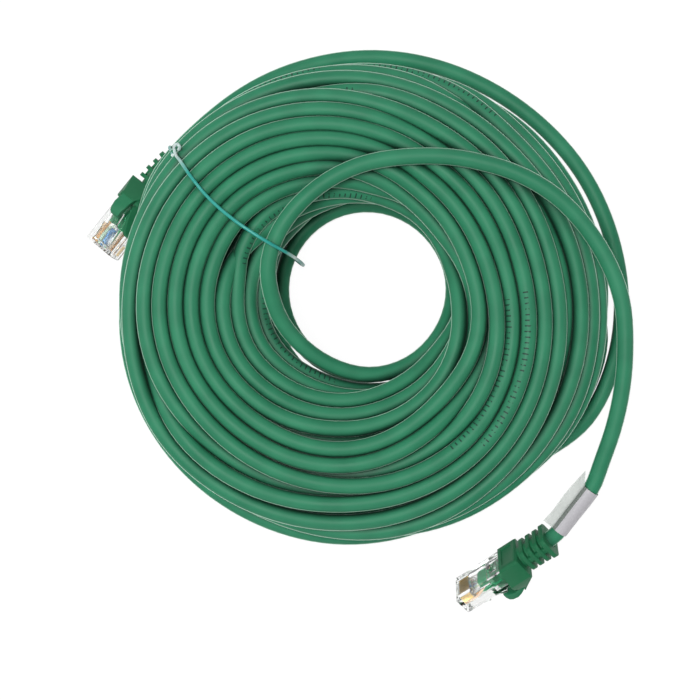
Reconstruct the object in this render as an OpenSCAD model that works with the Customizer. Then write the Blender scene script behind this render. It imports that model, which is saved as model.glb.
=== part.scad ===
/* [Cable] */
// Outside diameter of the cable jacket
jacket_od = 5.3; // [5.2:0.02:5.4]
// Wall of the cable jacket
jacket_wall = 0.55; // [0.4:0.01:0.58]
// Diameter of one insulated wire
wire_od = 0.88; // [0.8:0.01:0.9]
// Diameter of the copper inside one wire
core_od = 0.5; // [0.3:0.01:0.55]

/* [Coil] */
// Radius of the round hole in the middle of the coil
coil_hole_r = 25.7; // [22:0.1:30]
// Outside radius of the coil
coil_outer_r = 79.2; // [77:0.1:79.4]
// Height of the coil as it lies
coil_h = 37.4; // [34:0.1:39]

/* [Plug housing] */
// Length of the clear housing
housing_l = 21.5; // [20:0.1:23]
// Width of the clear housing
housing_w = 11.68; // [11.5:0.01:11.9]
// Height of the clear housing without its latch
housing_h = 6.6; // [6.5:0.01:6.8]
// Distance between neighbouring contacts
pin_pitch = 1.02; // [1:0.005:1.04]
// Bevel around the nose
nose_bevel = 0.5; // [0.2:0.05:0.8]

/* [Contacts] */
// Thickness of one contact blade
blade_t = 0.32; // [0.25:0.01:0.36]
// Length of one contact blade along the plug
blade_l = 3.9; // [3:0.1:4.2]
// Depth of the blade's upper edge below the housing's face
blade_sink = 0.55; // [0.4:0.05:0.8]
// Distance from the nose to the front of the blades
blade_front = 1.5; // [1.3:0.05:1.7]

/* [Latch] */
// Length of the latch from its root to its tail
latch_l = 12.8; // [12:0.1:13.2]
// Thickness of the latch lever
latch_t = 1; // [0.7:0.05:1.1]
// Width of the latch ahead of its shoulders
latch_w = 6.1; // [5.5:0.1:6.3]
// Width of the latch tail
latch_tail_w = 3.2; // [2.8:0.1:3.6]
// Slope of the latch at rest, in degrees
latch_slope = 14.6; // [14:0.1:15]

/* [Boot] */
// Wall of the boot beside the housing
boot_wall = 0.56; // [0.5:0.02:0.9]
// Distance from the nose to the front edge of the boot
boot_front = 19; // [18:0.1:19.5]
// Distance from the nose to the rear of the boot body
boot_rear = 26.2; // [26:0.1:27]
// Distance from one strain relief fin to the next
fin_pitch = 2.8; // [2.6:0.05:3]
// Thickness of one fin
fin_t = 1.35; // [1:0.05:1.6]
// Width of one fin
fin_w = 10.2; // [9.6:0.1:11]
// Height of one fin
fin_h = 8.4; // [8:0.1:8.8]
// Diameter of the neck between the fins
neck_od = 7.4; // [7:0.1:7.8]
// Bend of the strain relief from one fin to the next, in degrees
relief_bend = 5; // [0:0.5:6]

/* [Boot hood] */
// Width of the hood over the latch
hood_w = 4.6; // [4:0.1:5]
// Radius of the hood's round root
hood_root_r = 1; // [0.8:0.05:1.05]

/* [Tie and label] */
// Diameter of the wire tie
tie_od = 1.1; // [0.9:0.05:1.3]
// Length of the label along the cable
label_l = 17.5; // [14:0.5:18]
// Width of the label's free flag
label_flag_w = 5.5; // [3:0.5:8]
// Thickness of the label film
label_t = 0.2; // [0.1:0.05:0.3]
// Tilt of the label's flag above the level, in degrees
label_flag_tilt = 55; // [20:5:80]

/* [Hidden] */
$fn = 48;

// Each plug is built nose at the origin, pointing along +X, contacts up, pin 1 towards +Y.
// Plug A lies beside the coil on its contact face, latch up. The foot is the point of its axis
// nearest the coil's centre.
plug_a_bearing = 141;
plug_a_beside = 1.9;   // from the coil's side out to the foot
plug_a_reach = 43.9;   // from the foot to the nose
plug_a_z = 5.2;
plug_a_foot = (coil_outer_r + plug_a_beside) * [cos(plug_a_bearing), sin(plug_a_bearing), 0];
plug_a_heading = plug_a_bearing + 90;
nose_a = plug_a_foot + [plug_a_reach * cos(plug_a_heading), plug_a_reach * sin(plug_a_heading), plug_a_z];
turn_a = [194.4, 0.6, plug_a_heading];
// Plug B stands on its nose, its cable held up
nose_b = [31, -100.4, 6.05];
turn_b = [68, 21, 216.5];
bend_a = relief_bend;
bend_b = 0;

// Clearances
snug = 0.03;     // fixed pieces pushed into each other
running = 0.05;  // a turning root in its groove
relief_gap = 0.1;  // the cable in the strain relief
loose = 0.3;     // the label around the cable

jacket_r = jacket_od / 2;
jacket_bore_r = jacket_r - jacket_wall;
wire_r = wire_od / 2;

// Inside of the housing: a flat wire tray in front, a throat, and a cavity for the jacket
top_z = housing_h / 2;
tray_z = -0.52;
tray_top = tray_z + wire_r + snug;
tray_floor = tray_z - wire_r - snug;
tray_front = 1.3;
tray_rear = 6.3;
tray_half_w = 3.5 * pin_pitch + wire_r + 0.06;
cavity_front = 13;
cavity_r = jacket_r + snug;
cavity_half_w = 4.25;
jacket_front = cavity_front + 0.2;
slot_w = 0.6;
slot_floor = 1.5;

// Crimp bar, pressed through the contact side onto the jacket
crimp_front = 14.6;
crimp_l = 2.6;
crimp_w = 5;
crimp_z = jacket_r - jacket_wall / 2;

// Wires in the jacket lie in two rows of four, and fan out to the pin pitch in the throat
row_z = 0.46;
column_y = 0.92;
wire_rear = 25;
fan_rear = cavity_front - 0.6;
fan_front = tray_rear + 3.6;
wire_straight = tray_rear + 0.1;
wire_front = tray_front + 0.15;
wire_colours = ["#e8b48c", "#c8641e", "#a9cdb2", "#2b5fa8", "#a9bddb", "#2f7f4c", "#c9ab94", "#6b4226"];

// Latch root, a round bar under the nose, and its lever
latch_root_r = 0.75;
latch_root_x = -1.7;
latch_root_z = -top_z - 0.45;
latch_shoulder = 6.4;

// Boot body: contact face up, narrowing to a ridge on the latch side
boot_w = housing_w + 2 * boot_wall;
boot_top = top_z + 0.8;
boot_low = -5.2;
ridge_z = -10.3;
ridge_x = -18.7;
ridge_half_w = 2.5;
boot_wall_z = -top_z - 0.5;
panel_depth = 0.4;
panel_inset = 1.7;
prong_front = 14.6;
cheek_front = 8.4;

// Hood root, seated in the front of the ridge
hood_root_x = -19.3;
hood_root_z = -8.55;

fin_first = 2.1;
fin_count = 3;
flange_extra = 0.6;
flange_t = 1.5;
fin_corner = 2.2;

// ---- points, turns and swept tubes ----

function turned_x(p, a) = [p.x, p.y * cos(a) - p.z * sin(a), p.y * sin(a) + p.z * cos(a)];
function turned_y(p, a) = [p.x * cos(a) + p.z * sin(a), p.y, p.z * cos(a) - p.x * sin(a)];
function turned_z(p, a) = [p.x * cos(a) - p.y * sin(a), p.x * sin(a) + p.y * cos(a), p.z];
function placed(p, nose, turn) = nose + turned_z(turned_y(turned_x(p, turn.x), turn.y), turn.z);
function unit(v) = v / norm(v);

// Point at share t of the smooth curve through b and c, between neighbours a and d
function blend_point(a, b, c, d, t) =
    0.5 * (2 * b + (c - a) * t + (2 * a - 5 * b + 4 * c - d) * t * t
        + (3 * b - a - 3 * c + d) * t * t * t);
function smooth_path(p, steps) = [
    for (i = [0 : len(p) - 2], s = [0 : steps - 1])
        blend_point(p[max(i - 1, 0)], p[i], p[i + 1], p[min(i + 2, len(p) - 1)], s / steps),
    p[len(p) - 1]
];
function heading(p, i) = unit(p[min(i + 1, len(p) - 1)] - p[max(i - 1, 0)]);
function ring_points(c, along, r, sides, up) =
    let (side = unit(cross(along, up)), rise = cross(side, along))
    [for (k = [0 : sides - 1]) c + r * (cos(360 * k / sides) * side + sin(360 * k / sides) * rise)];

// A tube of the given radius along a path, closed at both ends
module tube(path, r, sides = 10, up = [0, 0, 1]) {
    n = len(path);
    rings = [for (i = [0 : n - 1], q = ring_points(path[i], heading(path, i), r, sides, up)) q];
    walls = [
        for (i = [0 : n - 2], k = [0 : sides - 1])
            let (a = i * sides + k, b = i * sides + (k + 1) % sides)
            each [[a, b, b + sides], [a, b + sides, a + sides]]
    ];
    first = [for (k = [sides - 1 : -1 : 0]) k];
    last = [for (k = [0 : sides - 1]) (n - 1) * sides + k];
    polyhedron(points = rings, faces = concat(walls, [first, last]));
}

// A side profile of [x, z] points, given its width across the plug
module side_profile(points, width) {
    translate([0, width / 2, 0]) rotate([90, 0, 0]) linear_extrude(width) polygon(points);
}

module rounded_plate(w, h, t, corner) {
    rotate([0, 90, 0]) linear_extrude(t, center = true) {
        square([h - 2 * corner, w], center = true);
        square([h, w - 2 * corner], center = true);
        for (a = [-1, 1], b = [-1, 1])
            translate([a * (h / 2 - corner), b * (w / 2 - corner)]) circle(corner);
    }
}

module bar_across(r, width) {
    rotate([90, 0, 0]) cylinder(r = r, h = width, center = true);
}

module rod_along(r, rear, front) {
    translate([-rear, 0, 0]) rotate([0, 90, 0]) cylinder(r = r, h = rear - front);
}

function pin_y(k) = (4.5 - k) * pin_pitch;

// ---- coil, leads, tie and label ----

coil_mid_r = (coil_outer_r + coil_hole_r) / 2;
coil_half_w = (coil_outer_r - coil_hole_r) / 2;
coil_half_h = coil_h / 2;
coil_outline_points = 40;

// Places in the strain relief, which may bend towards pin 8
function relief_point(i, bend) =
    i <= 0 ? [-boot_rear - fin_first, 0, 0]
    : relief_point(i - 1, bend) - fin_pitch * [cos((i - 0.5) * bend), sin((i - 0.5) * bend), 0];
function relief_exit(bend) =
    relief_point(fin_count, bend) - flange_t / 2 * [cos(fin_count * bend), sin(fin_count * bend), 0];
function relief_run(bend) = concat(
    [[-boot_rear, 0, 0]], [for (i = [0 : fin_count]) relief_point(i, bend)], [relief_exit(bend)]
);
function beyond_relief(bend, d) =
    relief_exit(bend) - d * [cos(fin_count * bend), sin(fin_count * bend), 0];

// A stop of a route along the coil: its bearing, its distance outwards from the coil's side and
// its height above the given level
function coil_stop(s, level) =
    let (r = coil_outer_r + s.y)
    [r * cos(s.x), r * sin(s.x), level + s.z];

// The free stretch from plug A runs under the coil's side and joins its lowest outer turn
stops_a = [[137, 0.4, 5.2], [127.6, -2.2, 4.6], [117.4, -5, 4.2], [106, -6.9, 4], [95, -9, 4]];
route_a = [for (s = stops_a) coil_stop(s, 0)];
// The free stretch from plug B rises past the label, then over the coil's side and top
label_from = [61.5, -76.2, 21];
label_to = [71.3, -61.8, 25];
stops_b = [
    [-35.3, 12.6, -10.4], [-28.9, 9.9, -8.4], [-20.4, 6.7, -6.4], [-11.8, 3.8, -4.9],
    [-0.7, 0.6, -3.6], [14.2, -6, -2.2], [29.7, -13.6, -0.4], [43, -19.1, -1.4]
];
route_b = concat(
    [for (t = [0 : 1 / 3 : 1]) label_from + t * (label_to - label_from)],
    [for (s = stops_b) coil_stop(s, coil_h)]
);
lead_steps = 3;

function lead_path(nose, turn, bend, route) = concat(
    [for (p = relief_run(bend)) placed(p, nose, turn)],
    smooth_path(concat([placed(beyond_relief(bend, 3), nose, turn)], route), lead_steps)
);

module coil() {
    color("#30865f") rotate_extrude($fn = 96)
        polygon([
            for (k = [0 : coil_outline_points - 1])
                let (a = 360 * k / coil_outline_points)
                [coil_mid_r + coil_half_w * cos(a), coil_half_h + coil_half_h * sin(a)]
        ]);
}

module lead_a() {
    color("#2f8560") tube(lead_path(nose_a, turn_a, bend_a, route_a), jacket_r);
}

module lead_b() {
    color("#2f8560") tube(lead_path(nose_b, turn_b, bend_b, route_b), jacket_r);
}

// The tie runs once round the bundle, upright, and ends in a short curl outside
tie_bearing = 144.3;
tie_middle = (coil_mid_r + 0.85) * [cos(tie_bearing), sin(tie_bearing)];
tie_heading = 136.2;
tie_first = 16;
tie_rise = 0.1;
tie_steps = 36;
tie_half_l = coil_half_w + tie_od / 2 - 0.9;
tie_low = tie_od / 2 + 0.05;
tie_half_h = (coil_h + tie_rise - tie_low) / 2;
function tie_point(a) = [
    tie_middle.x + tie_half_l * cos(a) * cos(tie_heading),
    tie_middle.y + tie_half_l * cos(a) * sin(tie_heading),
    tie_low + tie_half_h * (1 + sin(a))
];
tie_curl = [for (p = [[-4.8, 2.5, 1.1], [-4, 4.3, 0.5], [-2, 3.9, -0.7]]) tie_point(tie_first) + p];

module tie() {
    loop = [for (k = [0 : tie_steps - 2]) tie_point(tie_first + 360 * k / tie_steps)];
    across = [sin(tie_heading), -cos(tie_heading), 0];
    color("#33b3a0") tube(concat(tie_curl, loop), tie_od / 2, 8, across);
}

label_run = label_to - label_from;
label_bearing = atan2(label_run.y, label_run.x);
label_climb = atan2(label_run.z, norm([label_run.x, label_run.y]));
label_middle = (label_from + label_to) / 2;

module label() {
    wrap_r = jacket_r + loose;
    color("#c9ccd0") translate(label_middle) rotate([0, -label_climb, label_bearing]) difference() {
        union() {
            rod_along(wrap_r + label_t, label_l / 2, -label_l / 2);
            rotate([label_flag_tilt, 0, 0]) translate([-label_l / 2, 0, -label_t])
                cube([label_l, wrap_r + label_flag_w, 2 * label_t]);
        }
        rod_along(wrap_r, label_l / 2 + 1, -label_l / 2 - 1);
    }
}

// ---- one plug ----

module housing() {
    half_w = housing_w / 2;
    color("#e6ecec", 0.5) difference() {
        union() {
            side_profile([
                [-housing_l, -top_z], [-nose_bevel, -top_z], [0, nose_bevel - top_z],
                [0, top_z - nose_bevel], [-nose_bevel, top_z], [-housing_l, top_z]
            ], housing_w);
            side_profile([
                [latch_root_x, -top_z + 0.1], [-nose_bevel, -top_z + 0.1],
                [-nose_bevel, latch_root_z], [latch_root_x, latch_root_z - latch_root_r]
            ], latch_w + 0.8);
        }
        // Bevels on the four long edges of the nose's sides
        for (s = [-1, 1])
            translate([0, s * half_w, 0]) rotate([0, 0, 45])
                cube([nose_bevel, nose_bevel, 2 * housing_h], center = true);
        // Wire tray, throat and jacket cavity
        translate([-tray_rear - 0.2, -tray_half_w, tray_floor])
            cube([tray_rear + 0.2 - tray_front, 2 * tray_half_w, tray_top - tray_floor]);
        translate([-cavity_front, -tray_half_w, -row_z - wire_r - 0.15])
            cube([cavity_front - tray_rear, 2 * tray_half_w, 2 * (row_z + wire_r + 0.15)]);
        translate([-housing_l - 1, -cavity_half_w, -cavity_r])
            cube([housing_l + 1 - cavity_front, 2 * cavity_half_w, 2 * cavity_r]);
        // Contact slots: open to the jack above, tight on the blades below
        for (k = [1 : 8]) {
            translate([-blade_front - blade_l - 0.5, pin_y(k) - slot_w / 2, slot_floor])
                cube([blade_front + blade_l + 1, slot_w, housing_h]);
            translate([-blade_front - blade_l - snug, pin_y(k) - blade_t / 2 - snug, tray_top - 0.1])
                cube([blade_l + 2 * snug, blade_t + 2 * snug, housing_h]);
        }
        // Window of the crimp bar
        translate([-crimp_front - crimp_l - snug, -crimp_w / 2 - snug, 0])
            cube([crimp_l + 2 * snug, crimp_w + 2 * snug, housing_h]);
        // Groove of the latch root
        translate([latch_root_x, 0, latch_root_z])
            bar_across(latch_root_r + running, latch_w + 0.1);
    }
}

module latch() {
    shoulder_x = latch_root_x - latch_shoulder;
    color("#eef2f2", 0.5) intersection() {
        union() {
            translate([latch_root_x, 0, latch_root_z]) {
                bar_across(latch_root_r, latch_w);
                rotate([0, -latch_slope, 0])
                    side_profile([
                        [0, -latch_t / 2], [0, latch_t / 2],
                        [-latch_l, latch_t / 2], [-latch_l, -latch_t / 2]
                    ], latch_w);
            }
        }
        // Plan outline: wide in front, stepping in at the shoulders
        translate([0, 0, -housing_h * 2]) linear_extrude(housing_h * 2) {
            translate([shoulder_x, -latch_w / 2]) square([latch_shoulder + 2, latch_w]);
            translate([shoulder_x - latch_l, -latch_tail_w / 2]) square([latch_l + 1, latch_tail_w]);
        }
    }
}

module crimp_bar() {
    color("#e6ecec", 0.5) translate([-crimp_front - crimp_l, 0, 0])
        side_profile([
            [0, crimp_z], [crimp_l, crimp_z], [crimp_l, top_z - 0.9], [crimp_l / 2, top_z - 0.4],
            [0, top_z - 0.4]
        ], crimp_w);
}

module jacket_end() {
    color("#2f8560") difference() {
        rod_along(jacket_r, boot_rear, jacket_front);
        rod_along(jacket_bore_r, boot_rear + 1, jacket_front - 1);
        // Dent under the crimp bar
        translate([-crimp_front - crimp_l - snug, -crimp_w / 2, crimp_z])
            cube([crimp_l + 2 * snug, crimp_w, jacket_od]);
    }
}

// One insulated wire, from inside the jacket to its place under contact k
function wire_row(k) = k % 2 == 1 ? row_z : -row_z;
function wire_column(k) = (1.5 - floor((k - 1) / 2)) * column_y;
function ease(t) = t * t * (3 - 2 * t);
function wire_path(k) = concat(
    [[-wire_rear, wire_column(k), wire_row(k)]],
    [
        for (s = [0 : 5]) let (t = s / 5)
            [
                -fan_rear + (fan_rear - fan_front) * t,
                wire_column(k) + (pin_y(k) - wire_column(k)) * ease(t), wire_row(k)
            ]
    ],
    [
        for (s = [1 : 5]) let (t = s / 5)
            [
                -fan_front + (fan_front - wire_straight) * t,
                pin_y(k), wire_row(k) + (tray_z - wire_row(k)) * ease(t)
            ]
    ]
);

module wire(k) {
    color(wire_colours[k - 1]) {
        difference() {
            tube(wire_path(k), wire_r, 8);
            // The polyhedral run stops flat where the round, bored front end starts
            translate([-wire_straight, pin_y(k) - 1, tray_z - 1]) cube(2);
        }
        translate([0, pin_y(k), tray_z]) difference() {
            rod_along(wire_r, wire_straight, wire_front);
            rod_along(core_od / 2, wire_straight - 0.3, wire_front - 1);
            translate([-blade_front - blade_l - snug, -blade_t / 2 - snug, 0])
                cube([blade_l + 2 * snug, blade_t + 2 * snug, wire_od]);
        }
    }
}

module conductors() {
    color("#c87843") for (k = [1 : 8])
        translate([0, pin_y(k), tray_z]) difference() {
            rod_along(core_od / 2, wire_straight - 0.3, wire_front);
            translate([-blade_front - blade_l - snug, -blade_t / 2 - snug, 0])
                cube([blade_l + 2 * snug, blade_t + 2 * snug, wire_od]);
        }
}

module contact(k) {
    rear = -blade_front - blade_l;
    color("#d9b45a") translate([0, pin_y(k), 0])
        side_profile([
            [rear, tray_z + snug], [rear + blade_l / 4, tray_z + 0.45], [rear + blade_l / 2, tray_z + snug],
            [rear + blade_l * 3 / 4, tray_z + 0.45], [-blade_front, tray_z + snug],
            [-blade_front, top_z - blade_sink - 0.3], [-blade_front - 0.3, top_z - blade_sink],
            [rear, top_z - blade_sink]
        ], blade_t);
}

// The body round the housing's rear, with its ridge on the latch side
module boot_body() {
    intersection() {
        side_profile([
            [-boot_front, boot_top], [-boot_rear + 0.6, boot_top], [-boot_rear, boot_top - 0.6],
            [-boot_rear, boot_low + 0.7], [-boot_rear + 0.9, boot_low],
            [hood_root_x - 0.5, ridge_z + 0.55], [hood_root_x - 0.2, ridge_z + 0.5],
            [hood_root_x + 0.9, hood_root_z + 1.3], [ridge_x + 0.4, -6.6], [ridge_x + 1.1, -6],
            [-boot_front + 1.2, -4.8]
        ], boot_w);
        rotate([90, 0, 90]) translate([0, 0, -2 * housing_l]) linear_extrude(2 * housing_l)
            polygon([
                [-boot_w / 2 + 0.7, boot_top], [boot_w / 2 - 0.7, boot_top],
                [boot_w / 2, boot_top - 0.7], [boot_w / 2, boot_wall_z],
                [boot_w / 2 - 1.2, -5.8], [ridge_half_w + 0.5, -9], [ridge_half_w, ridge_z],
                [-ridge_half_w, ridge_z], [-ridge_half_w - 0.5, -9], [-boot_w / 2 + 1.2, -5.8],
                [-boot_w / 2, boot_wall_z], [-boot_w / 2, boot_top - 0.7]
            ]);
    }
}

// Guard beside the latch on the pin 8 side, a leaning wall that runs on from the body
module boot_cheek() {
    intersection() {
        side_profile([
            [-boot_front - 1, 0.5], [-cheek_front - 1, 0.5], [-cheek_front, -0.6], [-cheek_front, -3.6],
            [-cheek_front - 1.4, -5.6], [-cheek_front - 4.4, -7], [ridge_x + 1.4, -8.6],
            [-boot_front - 1, -8.8]
        ], boot_w + 2);
        rotate([90, 0, 90]) translate([0, 0, -2 * housing_l]) linear_extrude(2 * housing_l)
            polygon([
                [-boot_w / 2, 0.5], [-boot_w / 2, boot_wall_z], [-boot_w / 2 + 1.2, -5.8],
                [-ridge_half_w - 0.7, -8.8], [-ridge_half_w - 0.7, -7.4], [-boot_w / 2 + 2.2, -5.2],
                [-housing_w / 2 + 1.2, -top_z - snug], [-housing_w / 2 - snug, -top_z - snug],
                [-housing_w / 2 - snug, 0.5]
            ]);
    }
}

module relief(bend) {
    for (i = [0 : fin_count]) translate(relief_point(i, bend)) rotate([0, 0, i * bend]) {
        last = i == fin_count;
        rounded_plate(
            fin_w + (last ? flange_extra : 0), fin_h + (last ? flange_extra / 2 : 0),
            last ? flange_t : fin_t, fin_corner
        );
        rod_along(neck_od / 2, last ? 0 : fin_pitch, i == 0 ? -fin_first - 0.5 : 0);
        if (!last) translate([-fin_pitch, -fin_w / 2 + 0.3, -0.4]) cube([fin_pitch, fin_w - 0.6, 1.8]);
    }
}

module boot(bend) {
    color("#2d7f59") difference() {
        union() {
            difference() {
                union() {
                    boot_body();
                    boot_cheek();
                }
                // Seat of the housing's rear end
                translate([-housing_l - snug, -housing_w / 2 - snug, -top_z - snug])
                    cube([housing_l, housing_w + 2 * snug, housing_h + 2 * snug]);
                // Groove of the hood root, open to the front
                translate([hood_root_x, 0, hood_root_z]) bar_across(hood_root_r + running, boot_w);
                // Recessed panel on the contact face
                translate([-boot_rear + panel_inset, -boot_w / 2 + 2, boot_top - panel_depth])
                    cube([boot_rear - boot_front - 2 * panel_inset + 0.4, boot_w - 4.6, 1]);
            }
            // Prongs beside the jacket, inside the housing
            prong_l = housing_l + 0.5 - prong_front;
            prong_w = cavity_half_w - snug - jacket_r;
            for (side = [-1, 1])
                translate([-prong_front - prong_l, side * (jacket_r + prong_w / 2), 0])
                    translate([0, -prong_w / 2, snug - cavity_r])
                        cube([prong_l, prong_w, 2 * (cavity_r - snug)]);
            relief(bend);
        }
        rod_along(jacket_r + snug, boot_rear + fin_first + 0.2, prong_front - 1);
        for (i = [0 : fin_count]) translate(relief_point(i, bend)) rotate([0, 0, i * bend]) {
            rod_along(jacket_r + relief_gap, fin_pitch, 0);
            // A slightly wider collar inside each fin takes the turn from one stretch to the next
            rod_along(jacket_r + 3 * relief_gap, fin_t / 3, -fin_t / 3);
        }
    }
}

// A spoon-shaped tongue over the latch's tail, turning on its round root; drawn from the root
module hood() {
    half_w = hood_w / 2;
    color("#3f9169") translate([hood_root_x, 0, hood_root_z]) intersection() {
        union() {
            bar_across(hood_root_r, hood_w);
            side_profile([
                [0, -hood_root_r], [1.7, -1.95], [3.7, -2.6], [5.7, -2.5], [6.9, -1.85],
                [7.5, -0.85], [7.55, 0.35], [7.3, 1.05], [6.8, 1], [6.2, 0.35],
                [4.9, -0.25], [3.3, -0.45], [1.9, -0.05], [0, 0.6 * hood_root_r]
            ], hood_w);
        }
        // Plan outline, narrowing to the tip
        translate([0, 0, -housing_h]) linear_extrude(2 * housing_h) polygon([
            [-hood_w, -half_w], [3.3, -half_w], [6.7, 0.5 - half_w], [8.3, 1.4 - half_w],
            [8.3, half_w - 1.4], [6.7, half_w - 0.5], [3.3, half_w], [-hood_w, half_w]
        ]);
    }
}

module at_a() {
    translate(nose_a) rotate(turn_a) children();
}

module at_b() {
    translate(nose_b) rotate(turn_b) children();
}

coil();
lead_a();
lead_b();
tie();
label();
at_a() housing();  // housing_a
at_a() latch();  // latch_a
at_a() crimp_bar();  // crimp_bar_a
at_a() jacket_end();  // jacket_end_a
at_a() boot(bend_a);  // boot_a
at_a() hood();  // hood_a
at_a() conductors();  // conductors_a
at_b() housing();  // housing_b
at_b() latch();  // latch_b
at_b() crimp_bar();  // crimp_bar_b
at_b() jacket_end();  // jacket_end_b
at_b() boot(bend_b);  // boot_b
at_b() hood();  // hood_b
at_b() conductors();  // conductors_b
for (k = [1 : 8]) {
    at_a() wire(k);
    at_b() wire(k);
    at_a() contact(k);
    at_b() contact(k);
}
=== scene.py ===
from math import cos, pi, radians, sin

import bpy
import numpy as np
from mathutils import Euler, Matrix, Vector


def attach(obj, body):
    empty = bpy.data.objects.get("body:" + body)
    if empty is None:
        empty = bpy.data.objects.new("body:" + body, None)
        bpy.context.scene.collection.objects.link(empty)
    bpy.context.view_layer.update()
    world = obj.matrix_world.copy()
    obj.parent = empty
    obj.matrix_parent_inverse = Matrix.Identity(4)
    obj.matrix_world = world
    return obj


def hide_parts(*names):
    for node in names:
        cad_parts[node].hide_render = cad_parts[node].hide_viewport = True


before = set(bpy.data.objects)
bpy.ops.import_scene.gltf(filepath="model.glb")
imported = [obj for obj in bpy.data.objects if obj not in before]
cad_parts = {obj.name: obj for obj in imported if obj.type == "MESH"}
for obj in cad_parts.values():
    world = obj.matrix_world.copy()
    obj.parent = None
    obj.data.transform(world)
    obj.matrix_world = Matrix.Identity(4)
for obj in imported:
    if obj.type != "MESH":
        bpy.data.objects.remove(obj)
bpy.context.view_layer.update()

# ---- camera ----
# It hangs straight above the cable, which lies on a white table.

camera_place = (-0.0066, -0.0173, 0.480)
camera_data = bpy.data.cameras.new("overhead_camera")
camera_data.sensor_width = 36
camera_data.lens = 72.08
camera = bpy.data.objects.new("overhead_camera", camera_data)
camera.location = camera_place
bpy.context.scene.collection.objects.link(camera)
bpy.context.scene.camera = camera

# ---- cable ----
# One 20 m length of four-pair cable in a green PVC jacket, wound by hand into a fat ring. The
# turns have settled into each other, an outer and an inner one lie loose on the table, and both
# ends run free into the boots of the plugs.

cable_r = 0.00265
turn_count = 57
turn_steps = 72
first_bearing = 95.0
turn_bearings = np.radians(first_bearing - 360 / turn_steps * np.arange(turn_steps))
ring_height = 0.0370
ring_squareness = 2.1


def ring_inner(bearing):
    return 0.0290 + 0.0040 * np.cos(bearing - radians(150))


def ring_outer(bearing):
    return 0.0812 + 0.0043 * np.cos(bearing - radians(238))


# Sideways shift of the bundle for each metre of height: its top leans out on the left
ring_lean = 0.42 * np.cos(turn_bearings - radians(200))

ring_middle = (ring_outer(turn_bearings) + ring_inner(turn_bearings)) / 2
ring_half_w = (ring_outer(turn_bearings) - ring_inner(turn_bearings)) / 2 - cable_r
ring_half_h = ring_height / 2 - cable_r

# Plug A's place and plug B's, nose at the origin and contacts up before they are turned
plug_a_place = Matrix.Translation((-0.090654, 0.016921, 0.0052)) @ Euler(
    (radians(194.4), radians(0.6), radians(231))
).to_matrix().to_4x4()
plug_b_place = Matrix.Translation((0.031, -0.1004, 0.00605)) @ Euler(
    (radians(68), radians(21), radians(216.5))
).to_matrix().to_4x4()

# Stops of the given stretches: turns made, bearing, distance from the middle and height, in mm
lead_a_stops = [
    (-1, 137, 79.6, 5.2), (-1, 127.6, 77, 4.6), (-1, 117.4, 74.2, 4.2), (-1, 106, 72.3, 4), (0, 95, 70.2, 4)
]
loose_outer_stops = [
    (0, 182, 81.5, 17.2), (0, 165, 82.2, 18), (0, 155, 82.2, 16.5), (0, 147, 81.6, 13.7),
    (0, 137, 80.6, 10.6), (0, 127.6, 81, 8), (0, 117, 82, 4.8), (0, 105, 82.4, 2.8),
    (1, 90, 82.8, 2.65), (1, 75, 82.8, 2.65), (1, 60, 82.9, 2.65), (1, 45, 83.6, 2.65),
    (1, 30, 84.8, 2.65), (1, 15, 85.4, 2.65), (1, 0, 86.4, 2.65), (1, -15, 86.6, 2.65),
    (1, -30, 85.4, 2.65), (1, -45, 85, 2.65), (1, -60, 83.8, 2.65)
]
beside_outer_stops = [
    (2, 20, 78.6, 2.65), (2, 5, 80.4, 2.65), (2, -10, 81.1, 2.65), (2, -25, 80.3, 2.65),
    (2, -40, 79.6, 2.65), (2, -55, 78.9, 2.65), (2, -70, 77.6, 2.65)
]
last_turn = turn_count - 1
top_strand_stops = [
    (last_turn, 35, 30.3, 2.9), (last_turn, 15, 29.3, 4.4), (last_turn, -5, 27.9, 7.4),
    (last_turn, -18, 27, 10), (last_turn, -30, 26.4, 12), (last_turn, -60, 25.7, 14),
    (last_turn, -90, 25.6, 17), (last_turn, -120, 25.8, 20), (last_turn, -149, 27.9, 24),
    (last_turn, -169, 30.6, 28), (last_turn, -179, 31.6, 31), (last_turn, 166, 34.1, 34),
    (last_turn, 151, 35.3, 36),
    (last_turn, 121, 37.6, 37.5), (last_turn, 105.5, 39.7, 37.5), (last_turn + 1, 90, 42.4, 37.5),
    (last_turn + 1, 75, 45.4, 37.5), (last_turn + 1, 60, 50.7, 37.5), (last_turn + 1, 45, 57.3, 37.5)
]


def loose_inner_stops():
    """The lowest turn round the hole, a circle a little off the ring's middle."""
    middle, radius = Vector((-0.9, 3.2)), 29.2
    stops = []
    for bearing in range(-10, -310, -15):
        along = middle.dot((cos(radians(bearing)), sin(radians(bearing))))
        reach = along + (along**2 + radius**2 - middle.length_squared) ** 0.5
        stops.append((last_turn - (bearing > -265), bearing, reach, cable_r * 1000))
    return stops


def through(stops, wanted):
    """Smooth curve through rows of (share, values...), read at the wanted shares."""
    share, values = stops[:, 0], stops[:, 1:]
    slope = np.gradient(values, share, axis=0)
    seg = np.clip(np.searchsorted(share, wanted, side="right") - 1, 0, len(share) - 2)
    width = (share[seg + 1] - share[seg])[:, None]
    t = (wanted - share[seg])[:, None] / width
    return (
        values[seg] * (1 + 2 * t) * (1 - t) ** 2
        + slope[seg] * width * t * (1 - t) ** 2
        + values[seg + 1] * t**2 * (3 - 2 * t)
        + slope[seg + 1] * width * t**2 * (t - 1)
    )


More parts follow.
